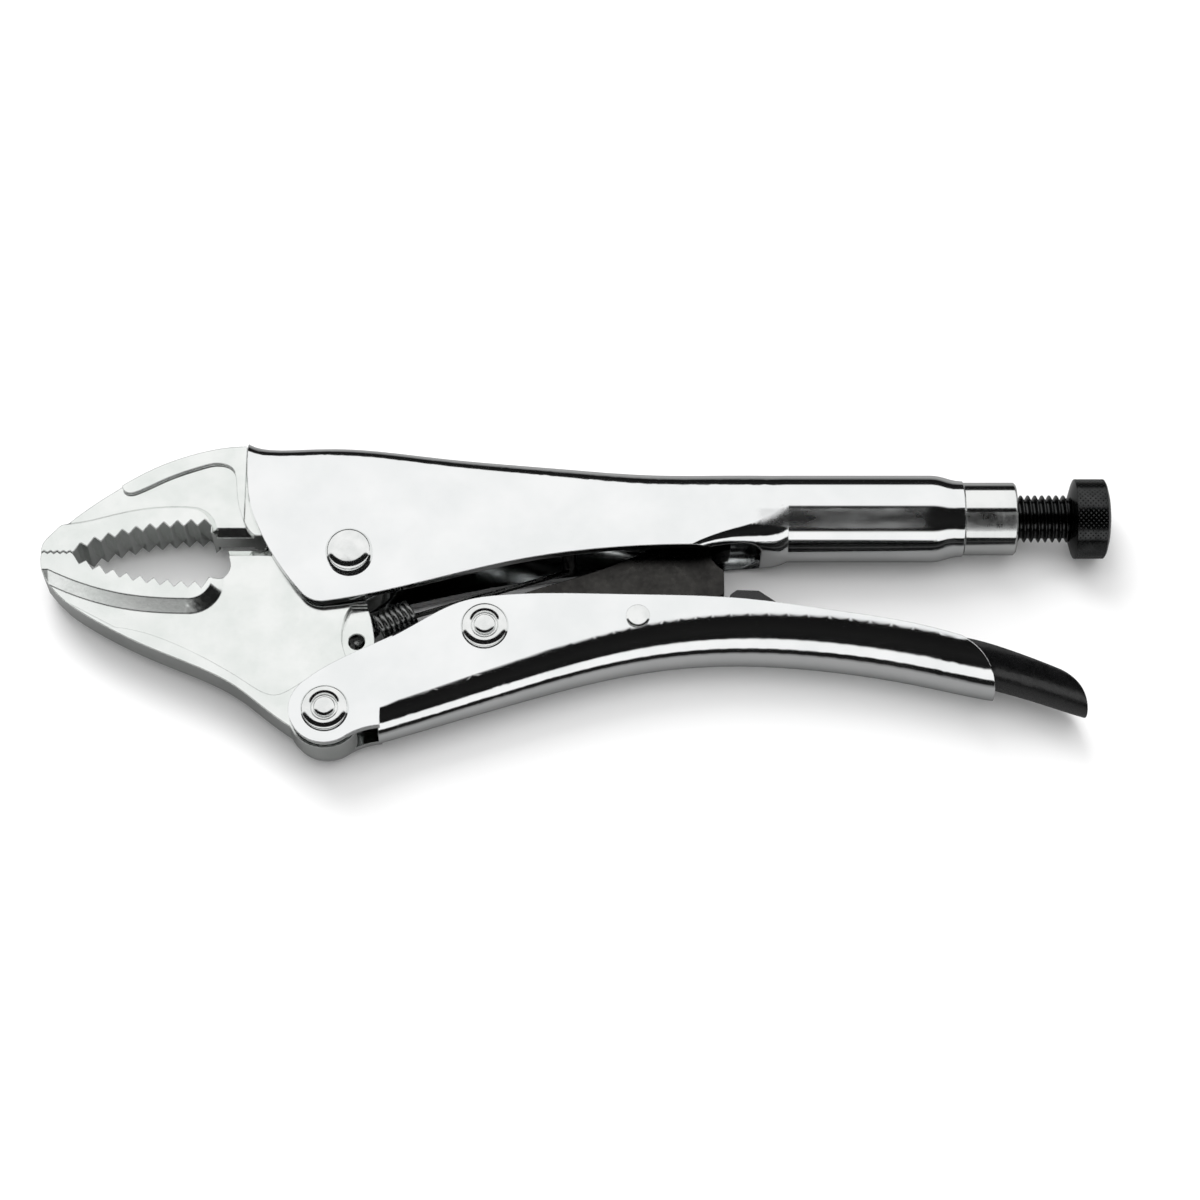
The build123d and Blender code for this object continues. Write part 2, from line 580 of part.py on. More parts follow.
def ring_rivet(centre, wall):
    """Pivot rivet whose heads are rolled over into a ring around a sunken button."""
    top = wall + RING_HEAD_HEIGHT
    button = top - 0.35
    well = top - RING_WELL_DEPTH
    ring_top = (RING_WELL_R + 0.9, top)
    rolled = ThreePointArc((RING_HEAD_R, wall + 0.3), (RING_HEAD_R - 0.35, top - 0.35), ring_top)
    lip = ThreePointArc(ring_top, (RING_WELL_R + 0.2, top - 0.2), (RING_WELL_R - 0.1, well))
    rest = Polyline(
        (RING_WELL_R - 0.1, well), (RING_BUTTON_R + 0.1, well), (RING_BUTTON_R, button), (0, button), (0, 0),
        (RING_SHANK_R, 0), (RING_SHANK_R, wall), (RING_HEAD_R, wall), (RING_HEAD_R, wall + 0.3),
    )
    return revolved_z(rolled + lip + rest, centre)


def lever_rivet():
    """Small flat rivet on which the release lever turns."""
    wall = 7.72
    top = wall + LEVER_HEAD_HEIGHT
    outline = Polyline(
        (0, 0), (LEVER_SHANK_R, 0), (LEVER_SHANK_R, wall), (LEVER_HEAD_R, wall),
        (LEVER_HEAD_R, top - 0.2), (LEVER_HEAD_R - 0.4, top), (0, top), close=True,
    )
    return revolved_z(outline, LEVER_PIVOT)


# ---- Tension spring -----------------------------------------------------------------------------

def wire(path):
    """A round wire along a path."""
    return sweep(Plane(origin=path @ 0, z_dir=path % 0) * Circle(WIRE_R), path)


def tension_spring():
    """Tension spring: close coils, one end through the lug of the lower jaw, one on the anchor bar."""
    axis = Vector(COIL_END[0] - COIL_START[0], COIL_END[1] - COIL_START[1], 0)
    frame = Plane(origin=(COIL_START[0], COIL_START[1], 0), x_dir=(0, 0, -1), z_dir=axis)
    turns = int(axis.length / COIL_PITCH)
    coil_path = frame * Helix(COIL_PITCH, turns * COIL_PITCH, COIL_R)
    coil = wire(coil_path)
    start = coil_path @ 0
    hook_z = start.Z
    hook = wire(Line((start.X, start.Y, hook_z), (SPRING_HOLE[0], SPRING_HOLE[1], hook_z - 0.5)))
    peg = Pos(SPRING_HOLE[0], SPRING_HOLE[1], PEG_MIDDLE_Z) * Cylinder(WIRE_R, PEG_LENGTH)
    end = coil_path @ 1
    arm_end = (ANCHOR[0], ANCHOR[1] - ANCHOR_R - WIRE_R - 0.05, end.Z)
    arm = wire(Line((end.X, end.Y, end.Z), arm_end))
    return coil + hook + peg + arm


def spring_anchor():
    """Bar welded across the inside of the upper handle, which the spring hooks on."""
    return bore(ANCHOR, ANCHOR_R, 5.95)


def main():
    """Write one STEP file for each piece."""
    os.makedirs("parts", exist_ok=True)
    pieces = {
        "upper_handle": upper_handle(),
        "fixed_jaw": fixed_jaw(),
        "lower_jaw": lower_jaw(),
        "lower_handle": lower_handle(),
        "toggle_link": toggle_link(),
        "release_lever": release_lever(),
        "adjusting_screw": adjusting_screw(),
        "screw_bush": screw_bush(),
        "main_rivet": main_rivet(),
        "jaw_rivet": ring_rivet(JAW_PIVOT, LOWER_FRONT_HALF),
        "link_rivet": ring_rivet(LINK_PIVOT, 6.5),
        "lever_rivet": lever_rivet(),
        "tension_spring": tension_spring(),
        "spring_anchor": spring_anchor(),
    }
    for node, shape in pieces.items():
        export_step(place(shape), f"parts/{node}.step")


main()
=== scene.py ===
"""Locking pliers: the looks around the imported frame.

Pressed sheet-steel handles and forged jaws in nickel plate, a black adjusting
screw with a knurled head, a black release lever, a dark toggle link and a
tension spring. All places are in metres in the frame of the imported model.
"""

import logging
import math
from dataclasses import dataclass, field, replace
from enum import Enum

import bmesh
import bpy
from mathutils import Matrix, Vector


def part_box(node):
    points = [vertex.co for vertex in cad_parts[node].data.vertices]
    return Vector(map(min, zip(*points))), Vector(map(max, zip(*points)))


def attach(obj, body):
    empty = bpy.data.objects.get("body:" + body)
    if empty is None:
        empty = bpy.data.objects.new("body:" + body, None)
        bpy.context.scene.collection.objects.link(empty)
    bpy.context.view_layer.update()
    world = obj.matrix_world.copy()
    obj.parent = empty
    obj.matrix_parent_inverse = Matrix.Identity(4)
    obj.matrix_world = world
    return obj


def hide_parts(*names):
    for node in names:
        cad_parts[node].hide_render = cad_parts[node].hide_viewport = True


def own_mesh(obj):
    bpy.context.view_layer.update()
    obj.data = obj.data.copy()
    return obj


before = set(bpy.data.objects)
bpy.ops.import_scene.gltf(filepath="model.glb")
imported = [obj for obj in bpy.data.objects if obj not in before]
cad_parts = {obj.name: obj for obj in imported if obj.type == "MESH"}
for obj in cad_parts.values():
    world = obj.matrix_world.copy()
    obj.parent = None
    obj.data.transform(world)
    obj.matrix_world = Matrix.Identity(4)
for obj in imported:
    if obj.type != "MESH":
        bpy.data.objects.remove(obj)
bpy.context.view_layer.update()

LOG = logging.getLogger("locking_pliers")
MM = 0.001
TURN = 2 * math.pi
UP = Vector((0, 0, 1))
ALONG = Vector((1, 0, 0))
COPY_MERGE = 1e-6
MADE_MERGE = 2e-6
FLAT_DEG = 0.3
COAT_ROUGHNESS = 0.2
LATHE_STEPS = 72
SOFT_SHARP_DEG = 50.0
EDGE_SAMPLES = 6

SCREW_AXIS_Y = 18.0
SCREW_AXIS_Z = 9.2


def linear(code: str) -> tuple[float, float, float, float]:
    """Turn an sRGB hex colour into linear light.

    Args:
        code: six hex digits, with or without a leading hash.

    Returns:
        Red, green, blue and an alpha of one.
    """
    code = code.lstrip("#")
    channels = [int(code[i:i + 2], 16) / 255 for i in (0, 2, 4)]
    light = [c / 12.92 if c <= 0.04045 else ((c + 0.055) / 1.055) ** 2.4
             for c in channels]
    return (light[0], light[1], light[2], 1.0)


def add_node(tree: bpy.types.NodeTree, kind: str, links: dict | None = None,
             inputs: dict | None = None, **settings: object) -> bpy.types.Node:
    """Add one shader node with its settings, values and incoming links.

    Args:
        tree: the node tree that gets the node.
        kind: Blender's name of the node type.
        links: input name or index to the output socket that feeds it.
        inputs: input name or index to its plain value.
        **settings: attributes set on the node itself.

    Returns:
        The new node.
    """
    node = tree.nodes.new(kind)
    for name, value in settings.items():
        setattr(node, name, value)
    for key, value in (inputs or {}).items():
        node.inputs[key].default_value = value
    for key, socket in (links or {}).items():
        tree.links.new(socket, node.inputs[key])
    return node


def ramp(tree: bpy.types.NodeTree, source: bpy.types.NodeSocket,
         stops: list[tuple[float, tuple[float, float, float, float]]],
         interpolation: str = "LINEAR") -> bpy.types.NodeSocket:
    """Add a colour ramp with the given stops.

    Args:
        tree: the node tree that gets the ramp.
        source: the socket that drives it.
        stops: position and linear colour of each stop, in order.
        interpolation: how the ramp runs between its stops.

    Returns:
        The ramp's colour output.
    """
    node = add_node(tree, "ShaderNodeValToRGB", {"Fac": source})
    node.color_ramp.interpolation = interpolation
    elements = node.color_ramp.elements
    while len(elements) < len(stops):
        elements.new(0.5)
    for element, (position, colour) in zip(elements, stops):
        element.position = position
        element.color = colour
    return node.outputs["Color"]


@dataclass(frozen=True)
class Grain:
    """A noise pattern of a real size, stretched along the axes where the surface was worked."""

    size_mm: float
    stretch: tuple[float, float, float] = (1.0, 1.0, 1.0)
    detail: float = 3.0
    roughness: float = 0.55

    def socket(self, tree: bpy.types.NodeTree) -> bpy.types.NodeSocket:
        """Add the noise on Object coordinates and return its value output."""
        place = add_node(tree, "ShaderNodeTexCoord")
        scale = [1 / (self.size_mm * MM * s) for s in self.stretch]
        scaled = add_node(tree, "ShaderNodeMapping", {"Vector": place.outputs["Object"]},
                          {"Scale": scale})
        noise = add_node(tree, "ShaderNodeTexNoise", {"Vector": scaled.outputs["Vector"]},
                         {"Scale": 1.0, "Detail": self.detail, "Roughness": self.roughness})
        return noise.outputs["Fac"]


@dataclass(frozen=True)
class Smear:
    """A stretch of a part that handling and drawing have dulled, as a soft box on two axes."""

    x_mm: tuple[float, float]
    y_mm: tuple[float, float]
    soft_mm: float
    dull: float
    clouds: Grain
    end_fade: float = 4.0
    cloud_range: tuple[float, float] = (0.38, 0.62)

    def edge(self, tree: bpy.types.NodeTree, value: bpy.types.NodeSocket,
             span: tuple[float, float], soft_mm: float) -> bpy.types.NodeSocket:
        """Rise softly into a span of one axis and fall softly out of it.

        Args:
            tree: the node tree that gets the nodes.
            value: the coordinate along the axis.
            span: where the stretch starts and ends, in millimetres.
            soft_mm: how far each edge fades.

        Returns:
            A value from nought outside to one inside.
        """
        sides = []
        for start, way in ((span[0], 1), (span[1], -1)):
            step = add_node(tree, "ShaderNodeMapRange", {"Value": value},
                            {"From Min": start * MM, "From Max": (start + way * soft_mm) * MM},
                            interpolation_type="SMOOTHSTEP")
            sides.append(step.outputs["Result"])
        both = add_node(tree, "ShaderNodeMath", {0: sides[0], 1: sides[1]},
                        operation="MULTIPLY")
        return both.outputs[0]

    def add_to(self, tree: bpy.types.NodeTree,
               gloss: bpy.types.NodeSocket) -> bpy.types.NodeSocket:
        """Raise the roughness inside the stretch.

        Args:
            tree: the node tree that gets the nodes.
            gloss: the roughness outside the stretch.

        Returns:
            The new roughness.
        """
        place = add_node(tree, "ShaderNodeTexCoord")
        axes = add_node(tree, "ShaderNodeSeparateXYZ", {"Vector": place.outputs["Object"]})
        along = self.edge(tree, axes.outputs["X"], self.x_mm, self.soft_mm * self.end_fade)
        across = self.edge(tree, axes.outputs["Y"], self.y_mm, self.soft_mm)
        inside = add_node(tree, "ShaderNodeMath", {0: along, 1: across}, operation="MULTIPLY")
        low, high = self.cloud_range
        patchy = add_node(tree, "ShaderNodeMapRange", {"Value": self.clouds.socket(tree)},
                          {"From Min": low, "From Max": high,
                           "To Min": self.dull / 2, "To Max": self.dull})
        extra = add_node(tree, "ShaderNodeMath",
                         {0: inside.outputs[0], 1: patchy.outputs["Result"]},
                         operation="MULTIPLY")
        total = add_node(tree, "ShaderNodeMath", {0: gloss, 1: extra.outputs[0]},
                         operation="ADD")
        return total.outputs[0]


@dataclass(frozen=True)
class Finish:
    """One real finish: its colours, its gloss and the marks its making left."""

    name: str
    light_hex: str
    dark_hex: str
    metallic: float
    smooth: float
    rough: float
    tint: Grain
    marks: Grain
    bump: Grain
    bump_height_mm: float
    coat: float = 0.0
    edge_mm: float = 0.25
    smear: Smear | None = None
    tint_range: tuple[float, float] = (0.35, 0.65)
    mark_range: tuple[float, float] = (0.35, 0.7)

    def material(self) -> bpy.types.Material:
        """Build the finish once and return its material."""
        found = bpy.data.materials.get(self.name)
        if found:
            return found
        made = bpy.data.materials.new(self.name)
        made.use_nodes = True
        tree = made.node_tree
        tree.nodes.clear()
        stops = list(zip(self.tint_range, (linear(self.dark_hex), linear(self.light_hex))))
        colour = ramp(tree, self.tint.socket(tree), stops)
        gloss = add_node(tree, "ShaderNodeMapRange", {"Value": self.marks.socket(tree)},
                         {"From Min": self.mark_range[0], "From Max": self.mark_range[1],
                          "To Min": self.smooth, "To Max": self.rough})
        roughness = gloss.outputs["Result"]
        if self.smear:
            roughness = self.smear.add_to(tree, roughness)
        eased = add_node(tree, "ShaderNodeBevel", None, {"Radius": self.edge_mm * MM},
                         samples=EDGE_SAMPLES)
        relief = add_node(tree, "ShaderNodeBump",
                          {"Height": self.bump.socket(tree),
                           "Normal": eased.outputs["Normal"]},
                          {"Strength": 1.0, "Distance": self.bump_height_mm * MM})
        shader = add_node(tree, "ShaderNodeBsdfPrincipled",
                          {"Base Color": colour, "Roughness": roughness,
                           "Normal": relief.outputs["Normal"]},
                          {"Metallic": self.metallic, "Coat Weight": self.coat,
                           "Coat Roughness": COAT_ROUGHNESS})
        add_node(tree, "ShaderNodeOutputMaterial", {"Surface": shader.outputs["BSDF"]})
        return made


# Nickel plate on polished sheet steel: a bright mirror with long faint polishing lines
# along the handle and soft clouds of handling smear.
POLISHED_NICKEL = Finish(
    "polished_nickel_plate", "#F7F8F8", "#EFF1F1", 1.0, 0.05, 0.11,
    tint=Grain(14.0), marks=Grain(1.2, (14.0, 1.0, 1.0), 4.0),
    bump=Grain(11.0, (2.0, 1.0, 1.0), 1.0), bump_height_mm=0.02,
)
# The same plate where the barrel was drawn over its mandrel and the hand grips it: a
# clouded grey stretch with clear metal on both sides of it.
BARREL_NICKEL = replace(
    POLISHED_NICKEL, name="polished_nickel_plate_on_drawn_barrel",
    smear=Smear((36.0, 75.0), (12.2, 16.9), 0.8, 0.36, Grain(5.0, (2.2, 1.0, 1.0))),
)
# Nickel plate on a forging that was tumbled: the same metal, greyer, with a fine even
# satin from the grit and slight hollows left by the hammer.
SATIN_NICKEL = Finish(
    "satin_nickel_on_forging", "#F4F6F4", "#E8ECE9", 1.0, 0.10, 0.17,
    tint=Grain(9.0), marks=Grain(0.6), bump=Grain(1.8, detail=2.0), bump_height_mm=0.004,
    edge_mm=0.4,
)
# Nickel plate on a headed rivet: bright, with a little orange peel from the heading tool.
RIVET_NICKEL = Finish(
    "nickel_plate_on_headed_rivet", "#F3F4F3", "#E6E8E7", 1.0, 0.09, 0.15,
    tint=Grain(3.0), marks=Grain(0.8), bump=Grain(2.4, detail=2.0), bump_height_mm=0.012,
)
# Turned steel under nickel: fine rings round the bush from the lathe tool.
TURNED_NICKEL = Finish(
    "nickel_plate_on_turned_steel", "#F2F3F2", "#E6E8E7", 1.0, 0.06, 0.13,
    tint=Grain(8.0), marks=Grain(0.6, (0.3, 6.0, 6.0)),
    bump=Grain(0.6, (0.5, 40.0, 40.0), 1.0), bump_height_mm=0.004, edge_mm=0.4,
    smear=Smear((78.0, 96.0), (12.4, 16.6), 0.6, 0.34, Grain(3.0, (1.5, 1.0, 1.0))),
)
# Black oxide on turned steel: near black with an oily half gloss that glints on crests.
BLACK_OXIDE = Finish(
    "black_oxide_on_turned_steel", "#454646", "#323333", 1.0, 0.14, 0.24,
    tint=Grain(3.0), marks=Grain(0.7), bump=Grain(0.3), bump_height_mm=0.006,
)
# Tempered steel left dark from the quench: brown-grey mottling and a dry gloss.
TEMPERED_STEEL = Finish(
    "quench_darkened_tempered_steel", "#454442", "#353433", 1.0, 0.26, 0.42,
    tint=Grain(5.0), marks=Grain(1.0), bump=Grain(0.9), bump_height_mm=0.008,
)
# Black phosphate sealed with lacquer on pressed sheet: satin black with fine crystals.
BLACK_PHOSPHATE = Finish(
    "lacquered_black_phosphate", "#101011", "#09090A", 0.0, 0.24, 0.34,
    tint=Grain(2.5), marks=Grain(0.6), bump=Grain(0.5), bump_height_mm=0.002, coat=0.2,
)
# Drawn spring wire: grey steel with lines along its drawing and an oil-dulled gloss.
SPRING_WIRE = Finish(
    "drawn_spring_steel_wire", "#A4A5A4", "#6F706F", 1.0, 0.22, 0.38,
    tint=Grain(1.2, (4.0, 1.0, 1.0)), marks=Grain(0.5), bump=Grain(0.3), bump_height_mm=0.005,
)


class Body(Enum):
    """The bodies of the frame that pieces ride on."""

    UPPER = "upper_body"
    LOWER_JAW = "lower_jaw"
    LOWER_HANDLE = "lower_handle"
    LINK = "toggle_link"
    LEVER = "release_lever"
    SCREW = "adjusting_screw"


def finish_piece(name: str, mesh: bpy.types.Mesh, look: Finish, body: Body,
                 replaced: tuple[str, ...]) -> bpy.types.Object:
    """Put a finished mesh in the scene as a piece of the pliers.

    Args:
        name: the piece's name.
        mesh: its mesh, in place in the frame.
        look: its finish.
        body: the body that it rides on.
        replaced: the nodes that it stands for.

    Returns:
        The piece's object.
    """
    mesh.materials.clear()
    mesh.materials.append(look.material())
    piece = bpy.data.objects.new(name, mesh)
    bpy.context.scene.collection.objects.link(piece)
    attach(piece, body.value)
    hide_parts(*replaced)
    LOG.info("%s: %d faces on %s, %s", name, len(mesh.polygons), body.value, look.name)
    return piece


def to_mesh(bm: bmesh.types.BMesh, name: str, sharp_deg: float = 38.0) -> bpy.types.Mesh:
    """Turn a bmesh into a smooth mesh with sharp edges where it turns hard.

    Args:
        bm: the shape, which is freed.
        name: the mesh's name.
        sharp_deg: edges that turn more than this stay sharp.

    Returns:
        The new mesh.
    """
    mesh = bpy.data.meshes.new(name)
    bm.to_mesh(mesh)
    bm.free()
    mesh.shade_smooth()
    mesh.set_sharp_from_angle(angle=math.radians(sharp_deg))
    return mesh


def trim(bm: bmesh.types.BMesh, point: tuple[float, float, float] | Vector,
         outwards: tuple[float, float, float]) -> list[bmesh.types.BMVert | bmesh.types.BMEdge]:
    """Cut a shape by a plane and drop what lies outside it.

    Args:
        bm: the shape.
        point: a point on the plane, in metres.
        outwards: the side of the plane that goes.

    Returns:
        The corners and edges of the cut.
    """
    cut = bmesh.ops.bisect_plane(bm, geom=bm.verts[:] + bm.edges[:] + bm.faces[:],
                                 plane_co=point, plane_no=outwards, clear_outer=True)
    return cut["geom_cut"]


def merged_copy(node: str) -> bmesh.types.BMesh:
    """Copy a node's mesh and join the corners that its triangles share.

    Args:
        node: the node's name.

    Returns:
        The copy as one connected shape.
    """
    bm = bmesh.new()
    bm.from_mesh(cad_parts[node].data)
    bmesh.ops.remove_doubles(bm, verts=bm.verts, dist=COPY_MERGE)
    return bm


@dataclass
class EasedPart:
    """A pressed part of the frame whose cut edges are eased as tumbling leaves them.

    The shape is the frame's own. Its corners get a small round, and its broad faces
    lead the normals beside them.
    """

    node: str
    body: Body
    slot: str
    look: Finish
    ease_mm: float = 0.25
    segments: int = 2
    corner_deg: float = 35.0

    def shape(self) -> bmesh.types.BMesh:
        """Merge a copy of the node's mesh and round its hard edges."""
        bm = merged_copy(self.node)
        bmesh.ops.dissolve_limit(bm, angle_limit=math.radians(FLAT_DEG), verts=bm.verts,
                                 edges=bm.edges)
        limit = math.radians(self.corner_deg)
        hard = [e for e in bm.edges if e.is_manifold and e.calc_face_angle(0) > limit]
        bmesh.ops.bevel(bm, geom=hard, offset=self.ease_mm * MM, offset_type="OFFSET",
                        affect="EDGES", segments=self.segments, profile=0.5, material=-1,
                        clamp_overlap=False)
        return bm

    def build(self) -> bpy.types.Object:
        """Build the eased part in the scene and return it."""
        mesh = to_mesh(self.shape(), f"{self.node}_eased")
        piece = finish_piece(f"{self.node}_skin", mesh, self.look, self.body,
                             (self.node,))
        weighted = piece.modifiers.new("face_weights", "WEIGHTED_NORMAL")
        weighted.keep_sharp = True
        return piece


@dataclass
class AdjustingScrew:
    """The screw that sets the jaw opening: a helical thread and a knurled head on one axis."""

    thread_r: float = 5.0
    root_r: float = 4.15
    pitch: float = 1.5
    flat_share: float = 0.12
    tip_x: float = 37.7
    thread_end_x: float = 103.9
    head_r: float = 8.5
    cone_x: float = 103.6
    head_x: float = 104.9
    dome_x: float = 111.2
    end_x: float = 112.6
    sides: int = 32
    knurl_pitch: float = 1.06
    knurl_height: float = 0.34
    under_knurl: float = 0.15
    chamfer: float = 0.55
    spare_cells: int = 12

    def thread(self) -> bmesh.types.BMesh:
        """Wind the thread's profile round the axis and cut both ends square.

        Returns:
            The threaded rod as a closed shape.
        """
        bm = bmesh.new()
        flat = self.pitch * self.flat_share
        start = self.tip_x - 2 * self.pitch
        middle = self.pitch / 2
        profile = [(0.0, self.root_r), (flat, self.root_r), (middle - flat / 2, self.thread_r),
                   (middle + flat / 2, self.thread_r), (self.pitch - flat, self.root_r),
                   (self.pitch, self.root_r)]
        verts = [bm.verts.new(self.at(start + x, r)) for x, r in profile]
        edges = [bm.edges.new(pair) for pair in zip(verts, verts[1:])]
        turns = math.ceil((self.thread_end_x - start) / self.pitch) + 1
        steps = turns * self.sides
        bmesh.ops.spin(bm, geom=verts + edges, cent=self.at(0, 0), axis=ALONG,
                       dvec=(self.pitch * MM / self.sides, 0, 0), angle=TURN * turns, steps=steps,
                       use_merge=False, use_duplicate=False)
        bmesh.ops.remove_doubles(bm, verts=bm.verts, dist=MADE_MERGE)
        for x, side in ((self.tip_x, -1), (self.thread_end_x, 1)):
            cut = trim(bm, self.at(x, 0), (side, 0, 0))
            rim = [e for e in cut if isinstance(e, bmesh.types.BMEdge)]
            bmesh.ops.holes_fill(bm, edges=rim, sides=0)
        bmesh.ops.recalc_face_normals(bm, faces=bm.faces)
        return bm

    def at(self, x: float, r: float) -> Vector:
        """The point at a distance along the screw and a radius above its axis."""
        return Vector((x, SCREW_AXIS_Y, SCREW_AXIS_Z + r)) * MM

    def head(self) -> bmesh.types.BMesh:
        """Turn the head's cone, rim and domed end.

        Returns:
            The head without its knurling.
        """
        rim = self.head_r - self.under_knurl
        shoulder = rim - self.chamfer
        foot_x = self.cone_x - 0.4
        profile = [(foot_x, 0.0), (foot_x, self.thread_r - 0.7),
                   (self.cone_x, self.thread_r - 0.5), (self.head_x - 0.25, shoulder),
                   (self.head_x, rim), (self.dome_x, rim), (self.dome_x + 0.35, shoulder),
                   (self.end_x - 0.55, rim * 0.72), (self.end_x - 0.15, rim * 0.42),
                   (self.end_x, 0.0)]
        return turned(profile, self.at(0, 0), ALONG, UP, LATHE_STEPS)

    def knurl(self) -> bmesh.types.BMesh:
        """Raise a diamond knurl on a flat strip and roll the strip round the head.

        Returns:
            The knurled band.
        """
        girth = TURN * (self.head_r - self.knurl_height)
        around = round(girth / self.knurl_pitch)
        cell = girth / around
        length = self.dome_x - self.head_x
        bm = bmesh.new()
        count = around + self.spare_cells
        bmesh.ops.create_grid(bm, x_segments=count, y_segments=count,
                              size=count * cell / math.sqrt(8) * MM)
        bmesh.ops.rotate(bm, verts=bm.verts, cent=(0, 0, 0),
                         matrix=Matrix.Rotation(math.pi / 4, 3, "Z"))
        half = length / 2 * MM
        for sign in (-1, 1):
            trim(bm, (0, sign * half, 0), (0, sign, 0))
            trim(bm, (sign * girth / 2 * MM, 0, 0), (sign, 0, 0))
        bmesh.ops.poke(bm, faces=bm.faces, offset=self.knurl_height * MM)
        for vert in bm.verts:
            turn = vert.co.x / (girth * MM) * TURN
            r = (self.head_r - self.knurl_height) * MM + vert.co.z
            x = (self.head_x + self.dome_x) / 2 * MM + vert.co.y
            vert.co = (x, SCREW_AXIS_Y * MM + r * math.sin(turn),
                       SCREW_AXIS_Z * MM + r * math.cos(turn))
        bmesh.ops.remove_doubles(bm, verts=bm.verts, dist=MADE_MERGE)
        bmesh.ops.recalc_face_normals(bm, faces=bm.faces)
        return bm

    def build(self) -> None:
        """Build the rod, the head and its knurling in the scene."""
        parts = (("screw_thread", self.thread(), 30.0), ("screw_head", self.head(), 30.0),
                 ("screw_knurl", self.knurl(), 20.0))
        for name, bm, sharp in parts:
            finish_piece(name, to_mesh(bm, name, sharp), BLACK_OXIDE, Body.SCREW,
                         ("adjusting_screw",))


def turned(profile: list[tuple[float, float]], centre: Vector, axis: Vector, side: Vector,
           steps: int) -> bmesh.types.BMesh:
    """Turn a profile once round an axis, as on a lathe.

    Args:
        profile: distance along the axis and radius of each point, in millimetres.
        centre: where the axis starts, in metres.
        axis: the direction of the axis.
        side: the direction in which the profile stands off the axis.
        steps: how many facets go round.

    Returns:
        The closed shape, with its poles merged and its faces outwards.
    """
    bm = bmesh.new()
    verts = [bm.verts.new(centre + (axis * along + side * radius) * MM)
             for along, radius in profile]
    edges = [bm.edges.new(pair) for pair in zip(verts, verts[1:])]
    bmesh.ops.spin(bm, geom=verts + edges, cent=centre, axis=axis, angle=TURN, steps=steps,
                   use_merge=True, use_duplicate=False)
    bmesh.ops.remove_doubles(bm, verts=bm.verts, dist=MADE_MERGE)
    bmesh.ops.recalc_face_normals(bm, faces=bm.faces)
    return bm


@dataclass
class Rivet:
    """A rivet with a head on both sides of the pliers."""

    node: str
    body: Body
    head_r: float
    head_height: float
    shank_r: float
    steps: int = LATHE_STEPS

    def crown(self, wall: float) -> list[tuple[float, float]]:
        """The head's profile from its middle outwards, above a wall's height on the axis."""
        raise NotImplementedError

    def build(self) -> bpy.types.Object:
        """Build both heads and the shank in the place of the node."""
        low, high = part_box(self.node)
        centre = (low + high) / 2
        wall = (high.z - low.z) / 2 / MM - self.head_height
        upper = self.crown(wall) + [(wall, self.shank_r)]
        lower = [(-along, radius) for along, radius in reversed(upper)]
        bm = turned(upper + lower, centre, UP, ALONG, self.steps)
        name = f"{self.node}_headed"
        return finish_piece(name, to_mesh(bm, name, SOFT_SHARP_DEG), RIVET_NICKEL, self.body,
                            (self.node,))


@dataclass
class DomedRivet(Rivet):
    """The main pivot's rivet: a nearly flat crown that turns over to a steep round edge."""

    crown_r: float = 3.1
    crown_sag: float = 0.16
    edge_drop: float = 1.85

    def crown(self, wall: float) -> list[tuple[float, float]]:
        """The head's profile from its middle outwards, above a wall's height on the axis."""
        top = wall + self.head_height
        points = [(top - self.crown_sag * (i / 4) ** 2, self.crown_r * i / 4)
                  for i in range(4)]
        brim = self.head_r - self.crown_r
        for i in range(17):
            angle = math.radians(3 + 87 * i / 16)
            points.append((top - self.crown_sag - self.edge_drop * (1 - math.cos(angle)),
                           self.crown_r + brim * math.sin(angle)))
        return points + [(wall, self.head_r)]


@dataclass
class RingRivet(Rivet):
    """A riveted-over pin: a flat button in a groove, in a ring that rounds down to the wall."""

    button_r: float = 2.15
    groove_r: float = 2.65
    ring_r: float = 3.55
    groove_depth: float = 0.75
    button_drop: float = 0.12
    wall_step: float = 0.12

    def crown(self, wall: float) -> list[tuple[float, float]]:
        """The head's profile from its middle outwards, above a wall's height on the axis."""
        top = wall + self.head_height
        button = top - self.button_drop
        groove = top - self.groove_depth
        points = [(button, 0.0), (button - 0.01, self.button_r * 0.6),
                  (button - 0.03, self.button_r - 0.2), (button - 0.14, self.button_r - 0.04),
                  (groove, self.button_r + 0.12), (groove, self.groove_r)]
        inner = (self.ring_r - self.groove_r, self.groove_depth)
        outer = (self.head_r - self.ring_r, self.head_height - self.wall_step)
        for i in range(13):
            angle = math.radians(180 * i / 12)
            half, foot = inner if angle < math.pi / 2 else outer
            points.append((top - foot * (1 - math.sin(angle)),
                           self.ring_r - half * math.cos(angle)))
        return points + [(wall, self.head_r)]


@dataclass
class JawSpring:
    """The spring between the jaw's lug and the upper handle, which shortens as the jaws open.

    Here it keeps the frame's shape, copied whole, and rides on the upper body; it does not
    shorten.
    """

    node: str = "tension_spring"
    anchor: tuple[float, float] = (-2.0, 9.0)
    hole_closed: tuple[float, float] = (-46.2, -10.8)
    hole_open: tuple[float, float] = (-37.2, -7.4)

    def build(self) -> None:
        """Build the spring as a merged copy of the frame's spring on the upper body."""
        name = "jaw_spring"
        mesh = to_mesh(merged_copy(self.node), name, SOFT_SHARP_DEG)
        piece = finish_piece(name, mesh, SPRING_WIRE, Body.UPPER, (self.node,))
        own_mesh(piece)


@dataclass
class KeptNode:
    """A node whose shape stays as the frame has it and gets its finish."""

    node: str
    look: Finish

    def build(self) -> None:
        """Dress the node's slots."""
        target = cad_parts[self.node]
        for place in target.material_slots:
            place.material = self.look.material()
        LOG.info("%s: kept, %s", self.node, self.look.name)


